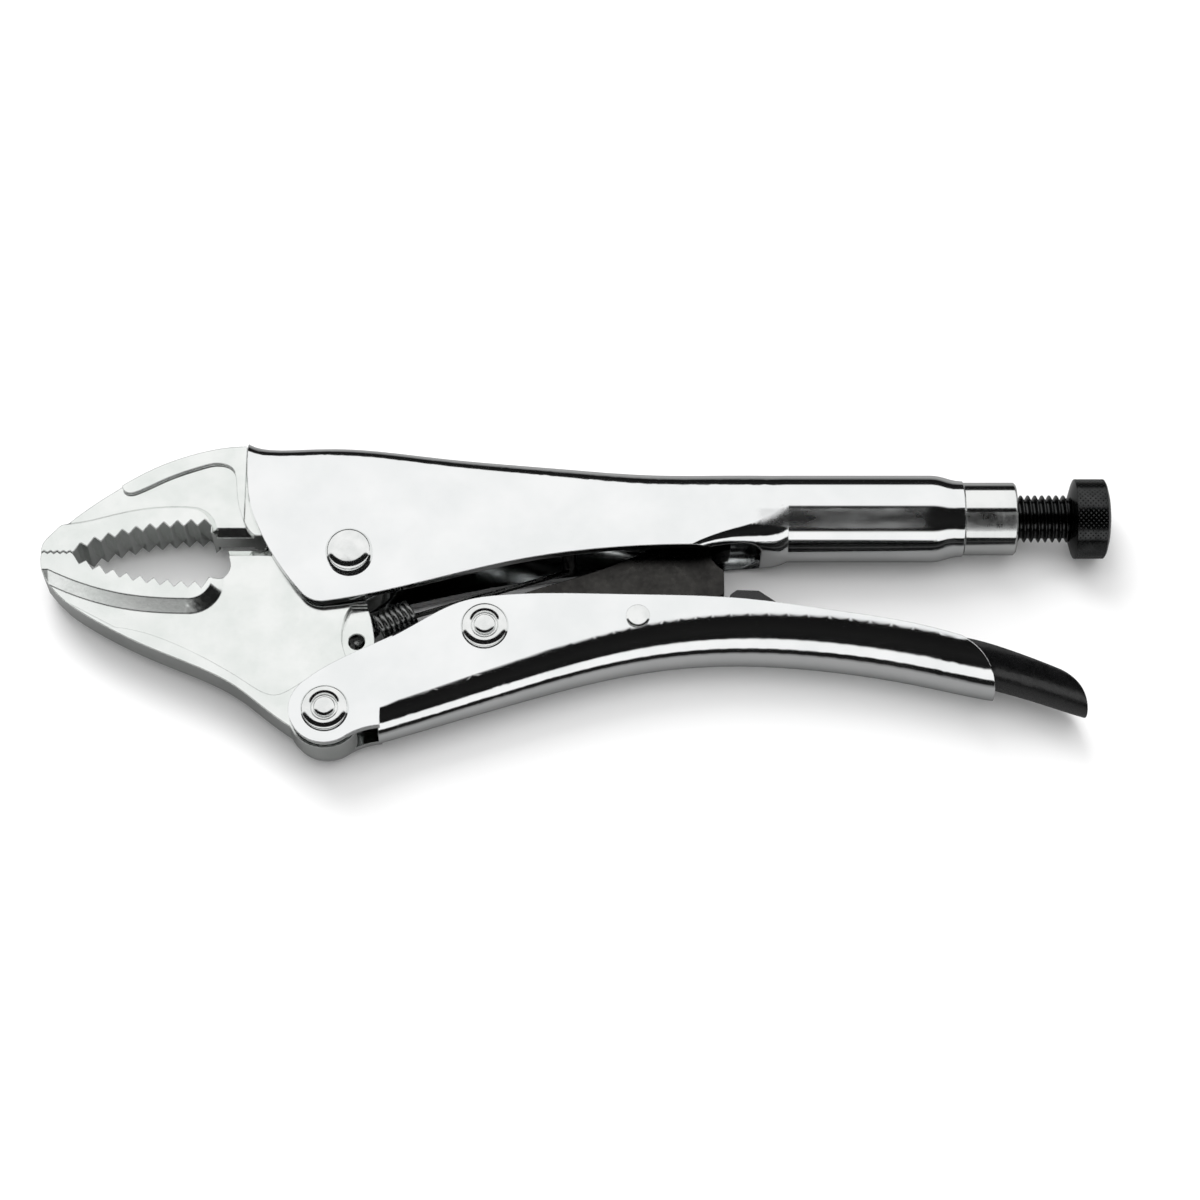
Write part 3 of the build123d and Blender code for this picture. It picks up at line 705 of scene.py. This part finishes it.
@dataclass
class Studio:
    """A pale floor, soft light and the camera."""

    target: Vector = field(default_factory=lambda: Vector((4.5, -0.6, 9.2)) * MM)
    elevation_deg: float = 67.5
    distance: float = 0.70
    lens: float = 100.0
    floor_size: float = 6.0
    # How far from the tool's length, in metres, the floor's painted reflection fades from grey to
    # near black.
    painted_reflection_near: float = 0.050
    painted_reflection_far: float = 0.085
    # Share of the turn round the tool's length, and how bright the surround is there.
    tent: tuple[tuple[float, float], ...] = (
        (0.0, 0.02), (0.22, 0.3), (0.44, 0.02), (0.505, 0.02), (0.512, 1.0), (0.585, 1.0),
        (0.597, 0.008), (0.66, 0.012), (0.75, 0.008), (0.778, 0.008), (0.786, 1.0),
        (0.968, 1.0), (0.976, 0.015), (1.0, 0.015),
    )
    mirror_strength: float = 0.98
    room_strength: float = 0.55

    def camera(self) -> None:
        """Place the camera above the pliers, tilted a little from straight down."""
        data = bpy.data.cameras.new("camera")
        data.lens = self.lens
        data.sensor_width = 36.0
        data.clip_start = 0.01
        view = bpy.data.objects.new("camera", data)
        bpy.context.scene.collection.objects.link(view)
        tilt = math.radians(self.elevation_deg)
        away = Vector((0, -math.cos(tilt), math.sin(tilt)))
        view.location = self.target + away * self.distance
        view.rotation_euler = (-away).to_track_quat("-Z", "Y").to_euler()
        bpy.context.scene.camera = view

    def floor(self) -> None:
        """Lay the pale floor. Glossy rays see it as a painted reflection instead: grey near the
        pliers, fading to near black farther out.
        """
        bm = bmesh.new()
        bmesh.ops.create_grid(bm, x_segments=1, y_segments=1, size=self.floor_size / 2)
        mesh = bpy.data.meshes.new("floor")
        bm.to_mesh(mesh)
        bm.free()
        made = bpy.data.materials.new("matt_white_paper_with_painted_reflection")
        made.use_nodes = True
        tree = made.node_tree
        tree.nodes.clear()
        path = add_node(tree, "ShaderNodeLightPath")
        paper = add_node(tree, "ShaderNodeBsdfDiffuse", None, {"Color": linear("#F6F6F6")})
        place = add_node(tree, "ShaderNodeTexCoord")
        split = add_node(tree, "ShaderNodeSeparateXYZ", {"Vector": place.outputs["Object"]})
        away = add_node(tree, "ShaderNodeMath", {0: split.outputs["Y"]},
                        operation="ABSOLUTE")
        # Painted reflection: glossy rays see the floor grey near the pliers and near black
        # farther out, in place of the white paper.
        reach = add_node(tree, "ShaderNodeMapRange", {"Value": away.outputs[0]},
                         {"From Min": self.painted_reflection_near, "From Max": self.painted_reflection_far})
        shade = ramp(tree, reach.outputs["Result"],
                     [(0.0, linear("#8E8E8E")), (1.0, linear("#141414"))])
        painted_reflection_bsdf = add_node(tree, "ShaderNodeBsdfDiffuse", {"Color": shade})
        mixed = add_node(tree, "ShaderNodeMixShader",
                         {0: path.outputs["Is Glossy Ray"], 1: paper.outputs[0],
                          2: painted_reflection_bsdf.outputs[0]})
        add_node(tree, "ShaderNodeOutputMaterial", {"Surface": mixed.outputs[0]})
        mesh.materials.append(made)
        floor = bpy.data.objects.new("floor", mesh)
        bpy.context.scene.collection.objects.link(floor)

    def surroundings(self) -> None:
        """Light the room: a white tent overhead, with dark gaps that draw the metal's shape."""
        world = bpy.data.worlds.new("studio")
        bpy.context.scene.world = world
        world.use_nodes = True
        tree = world.node_tree
        tree.nodes.clear()
        place = add_node(tree, "ShaderNodeTexCoord")
        split = add_node(tree, "ShaderNodeSeparateXYZ", {"Vector": place.outputs["Generated"]})
        flip = add_node(tree, "ShaderNodeMath", {0: split.outputs["Y"]}, {1: -1.0},
                        operation="MULTIPLY")
        angle = add_node(tree, "ShaderNodeMath",
                         {0: split.outputs["Z"], 1: flip.outputs[0]}, operation="ARCTAN2")
        share = add_node(tree, "ShaderNodeMapRange", {"Value": angle.outputs[0]},
                         {"From Min": -math.pi, "From Max": math.pi})
        bands = ramp(tree, share.outputs[0], [(p, (v, v, v, 1.0)) for p, v in self.tent])
        path = add_node(tree, "ShaderNodeLightPath")
        mirror = add_node(tree, "ShaderNodeBackground", {"Color": bands},
                          {"Strength": self.mirror_strength})
        room = add_node(tree, "ShaderNodeBackground", None,
                        {"Color": linear("#FFFFFF"), "Strength": self.room_strength})
        mixed = add_node(tree, "ShaderNodeMixShader",
                         {0: path.outputs["Is Glossy Ray"], 1: room.outputs[0],
                          2: mirror.outputs[0]})
        add_node(tree, "ShaderNodeOutputWorld", {"Surface": mixed.outputs[0]})
        world.cycles.sampling_method = "NONE"

    def lamp(self, name: str, place: tuple[float, float, float], size: float,
             watts: float) -> None:
        """Hang one soft light that shines at the pliers.

        Args:
            name: the light's name.
            place: where it hangs, in metres.
            size: the side of its square face, in metres.
            watts: its power.
        """
        data = bpy.data.lights.new(name, "AREA")
        data.size = size
        data.energy = watts
        lamp = bpy.data.objects.new(name, data)
        bpy.context.scene.collection.objects.link(lamp)
        lamp.location = place
        lamp.rotation_euler = (self.target - Vector(place)).to_track_quat("-Z", "Y").to_euler()
        lamp.visible_glossy = False

    def build(self) -> None:
        """Build the whole studio."""
        self.camera()
        self.floor()
        self.surroundings()
        self.lamp("back_softbox", (-0.35, 0.75, 0.95), 0.7, 9.0)
        self.lamp("top_softbox", (0.1, 0.1, 1.2), 1.0, 7.0)
        bpy.context.scene.view_settings.view_transform = "Standard"
        LOG.info("studio built")


def main() -> None:
    """Build every sub-assembly in order."""
    logging.basicConfig(level=logging.INFO, format="%(name)s: %(message)s")
    Studio().build()
    EasedPart("toggle_link", Body.LINK, "dark_steel", TEMPERED_STEEL).build()
    EasedPart("release_lever", Body.LEVER, "black_lever", BLACK_PHOSPHATE).build()
    AdjustingScrew().build()
    DomedRivet("main_rivet", Body.UPPER, 4.93, 3.0, 3.25).build()
    RingRivet("jaw_rivet", Body.LOWER_HANDLE, 5.0, 1.3, 2.6).build()
    RingRivet("link_rivet", Body.LOWER_HANDLE, 5.0, 1.3, 2.6).build()
    for node, look in (("upper_handle", BARREL_NICKEL), ("lower_handle", POLISHED_NICKEL),
                       ("fixed_jaw", SATIN_NICKEL), ("lower_jaw", SATIN_NICKEL),
                       ("screw_bush", TURNED_NICKEL), ("lever_rivet", RIVET_NICKEL),
                       ("spring_anchor", TEMPERED_STEEL)):
        KeptNode(node, look).build()
    JawSpring().build()


if __name__ == "__main__":
    main()
